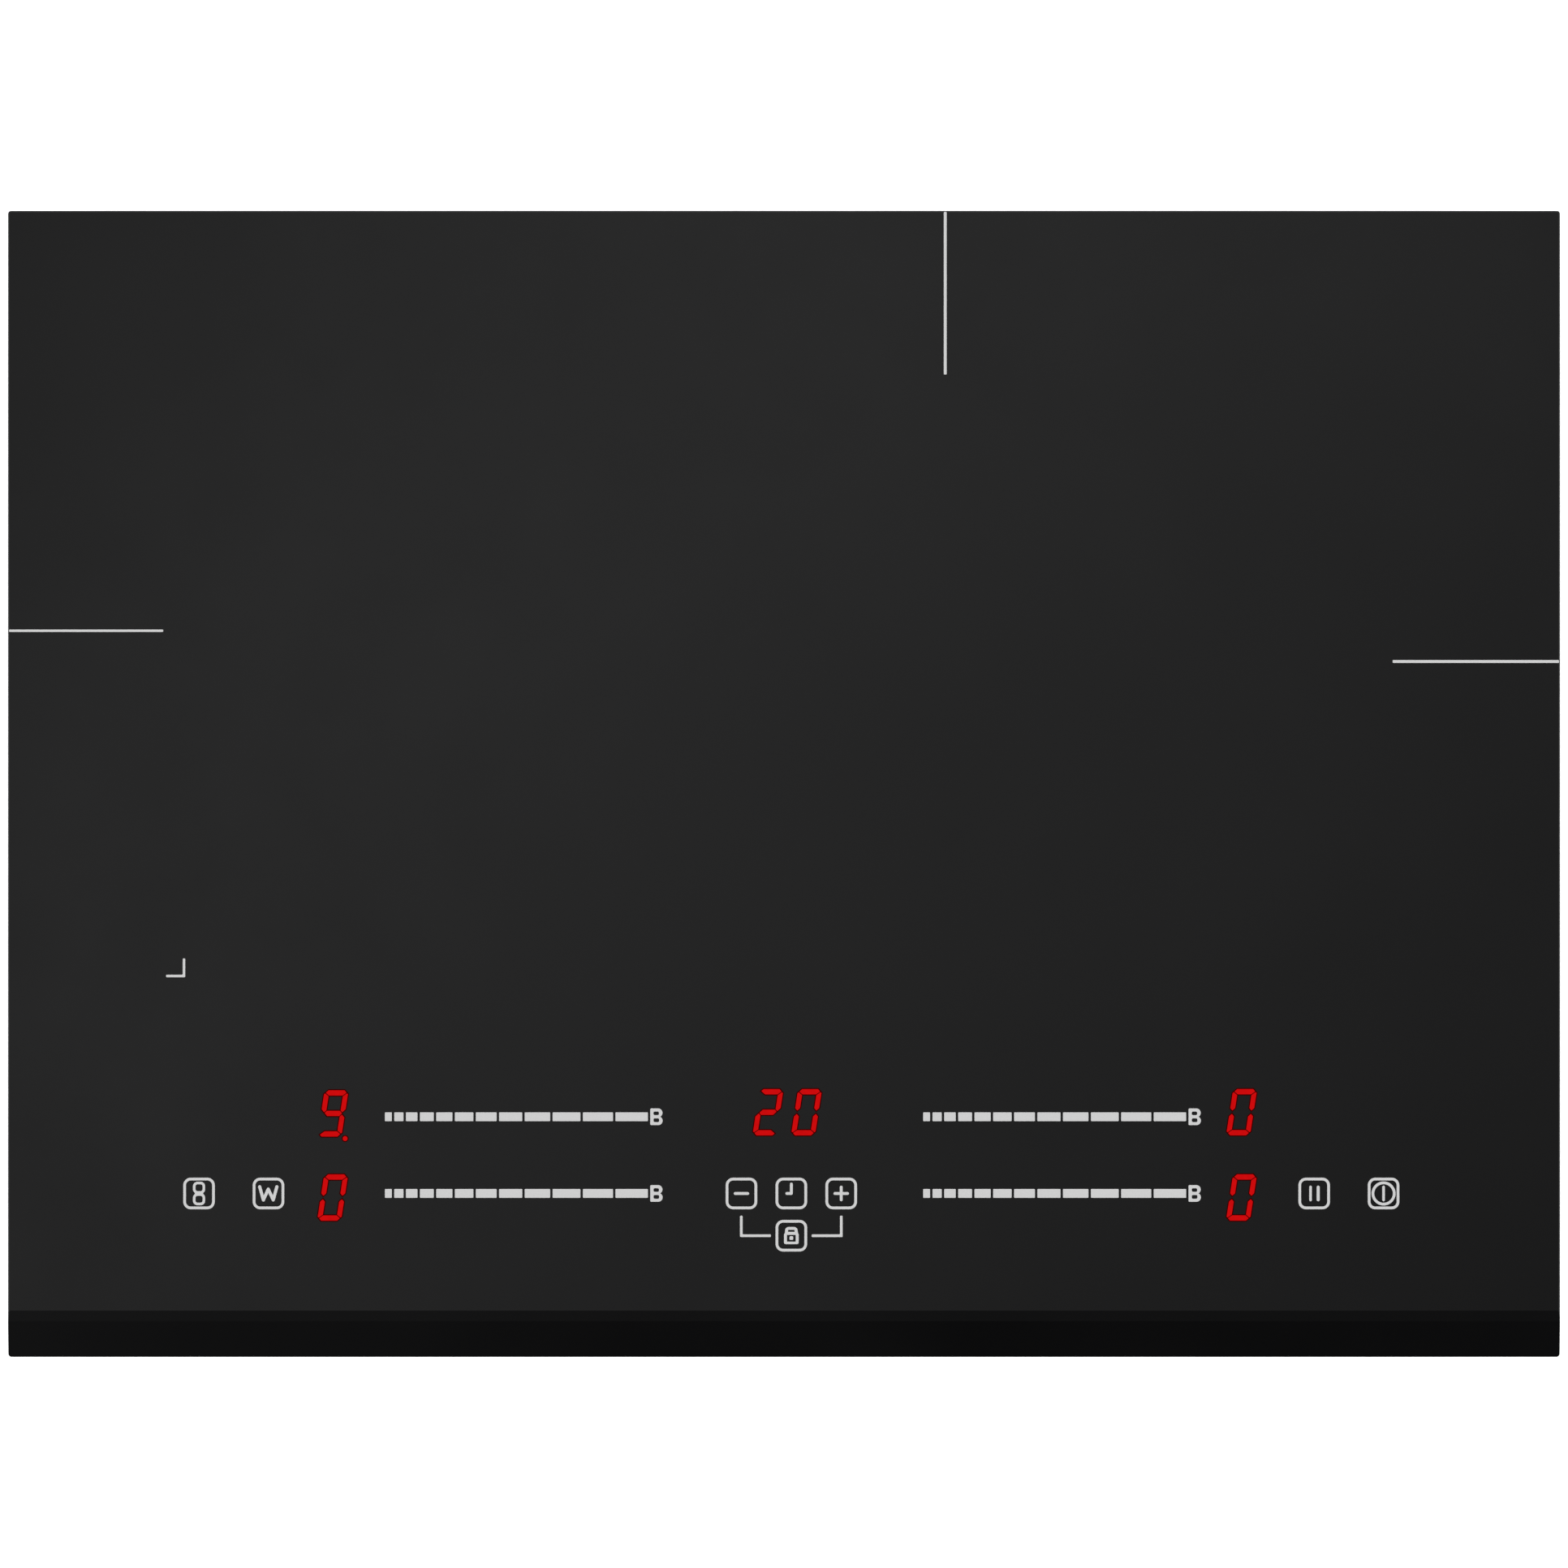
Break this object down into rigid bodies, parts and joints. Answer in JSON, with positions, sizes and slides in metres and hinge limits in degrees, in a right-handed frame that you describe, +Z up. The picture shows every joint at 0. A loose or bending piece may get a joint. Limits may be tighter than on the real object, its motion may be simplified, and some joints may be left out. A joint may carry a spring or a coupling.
{
  "type": "induction cooktop",
  "caption": "Built-in induction hob: black glass-ceramic plate with a bevelled front and touch controls over coils, electronics case, fans and worktop clamps.",
  "frame": {"origin": "centre of the plane in which the foam seal rests on the worktop", "axes": "+X to the user's right along the front edge, +Y to the rear, +Z up out of the cooking surface"},
  "size_m": [0.704, 0.52, 0.055],
  "materials": {
    "glass_ceramic": "gloss",
    "print_ink": "matt",
    "digit_light": "satin",
    "seal_foam": "matt",
    "silicone": "satin",
    "frame_paint": "satin",
    "tray_aluminium": "satin",
    "case_zinc": "matt",
    "screw_zinc": "satin",
    "clamp_steel": "satin",
    "spring_steel": "gloss",
    "former_plastic": "matt",
    "copper_litz": "satin",
    "ferrite": "matt",
    "mica": "satin",
    "sensor_silicone": "matt",
    "lead_sleeve": "satin",
    "circuit_board": "satin",
    "white_plastic": "matt",
    "grey_plastic": "matt",
    "black_plastic": "matt",
    "display_plastic": "satin",
    "ribbon": "satin",
    "sink_aluminium": "satin",
    "motor_steel": "satin",
    "package_black": "satin",
    "capacitor_blue": "satin",
    "brass": "satin"
  },
  "bodies": {
    "housing": {"glass_top": "glass_ceramic", "worktop_seal": "seal_foam", "adhesive_bead": "silicone", "mounting_frame": "frame_paint", "frame_screws": "screw_zinc", "coil_tray": "tray_aluminium", "clamp_nuts": "screw_zinc", "ferrite_bars_left": "ferrite", "ferrite_bars_right": "ferrite", "mica_sheets": "mica", "temperature_sensors": "sensor_silicone", "coil_springs": "spring_steel", "coil_leads": "lead_sleeve", "control_carrier": "grey_plastic", "control_board": "circuit_board", "touch_springs": "spring_steel", "slider_electrodes": "grey_plastic", "zone_displays": "display_plastic", "timer_display": "display_plastic", "ribbon_cable": "ribbon", "electronics_case": "case_zinc", "case_screws": "screw_zinc", "power_board_left": "circuit_board", "power_board_right": "circuit_board", "heatsink_left": "sink_aluminium", "heatsink_right": "sink_aluminium", "air_duct_left": "black_plastic", "air_duct_right": "black_plastic", "fan_housing_left": "black_plastic", "fan_housing_right": "black_plastic", "fan_motors": "motor_steel", "board_pillars": "white_plastic", "power_transistors": "package_black", "film_capacitors": "capacitor_blue", "input_chokes": "copper_litz", "filter_board": "circuit_board", "filter_choke": "copper_litz", "filter_parts": "white_plastic", "terminal_box": "black_plastic", "terminal_block": "white_plastic", "terminal_clamps": "brass", "cable_bushing": "black_plastic", "clamp_screws": "screw_zinc", "coil_former_rear_left": "former_plastic", "coil_winding_rear_left": "copper_litz", "coil_former_front_left": "former_plastic", "coil_winding_front_left": "copper_litz", "coil_former_rear_right": "former_plastic", "coil_winding_rear_right": "copper_litz", "coil_former_front_right": "former_plastic", "coil_winding_front_right": "copper_litz"},
    "fan_rotor_left": {"fan_impeller_left": "black_plastic"},
    "fan_rotor_right": {"fan_impeller_right": "black_plastic"},
    "terminal_lid": {"terminal_cover": "black_plastic"},
    "clamp_front_left": {"clamp_arm_front_left": "clamp_steel"},
    "clamp_front_right": {"clamp_arm_front_right": "clamp_steel"},
    "clamp_rear_left": {"clamp_arm_rear_left": "clamp_steel"},
    "clamp_rear_right": {"clamp_arm_rear_right": "clamp_steel"}
  },
  "joints": [
    {"name": "fan_left_spin", "type": "hinge", "parent": "housing", "child": "fan_rotor_left", "pos_m": [-0.225, 0.15, -0.035], "axis": [0, 0, 1], "continuous": true},
    {"name": "fan_right_spin", "type": "hinge", "parent": "housing", "child": "fan_rotor_right", "pos_m": [0.075, 0.15, -0.035], "axis": [0, 0, 1], "continuous": true},
    {"name": "terminal_lid_hinge", "type": "hinge", "parent": "housing", "child": "terminal_lid", "pos_m": [0.256, 0.167, -0.0466], "axis": [1, 0, 0], "range_deg": [-100, 0]},
    {"name": "clamp_front_left_swing", "type": "hinge", "parent": "housing", "child": "clamp_front_left", "pos_m": [-0.322, -0.15, -0.042], "axis": [0, 0, 1], "range_deg": [0, 90]},
    {"name": "clamp_front_right_swing", "type": "hinge", "parent": "housing", "child": "clamp_front_right", "pos_m": [0.322, -0.15, -0.042], "axis": [0, 0, 1], "range_deg": [-90, 0]},
    {"name": "clamp_rear_left_swing", "type": "hinge", "parent": "housing", "child": "clamp_rear_left", "pos_m": [-0.322, 0.15, -0.042], "axis": [0, 0, 1], "range_deg": [0, 90]},
    {"name": "clamp_rear_right_swing", "type": "hinge", "parent": "housing", "child": "clamp_rear_right", "pos_m": [0.322, 0.15, -0.042], "axis": [0, 0, 1], "range_deg": [-90, 0]}
  ]
}
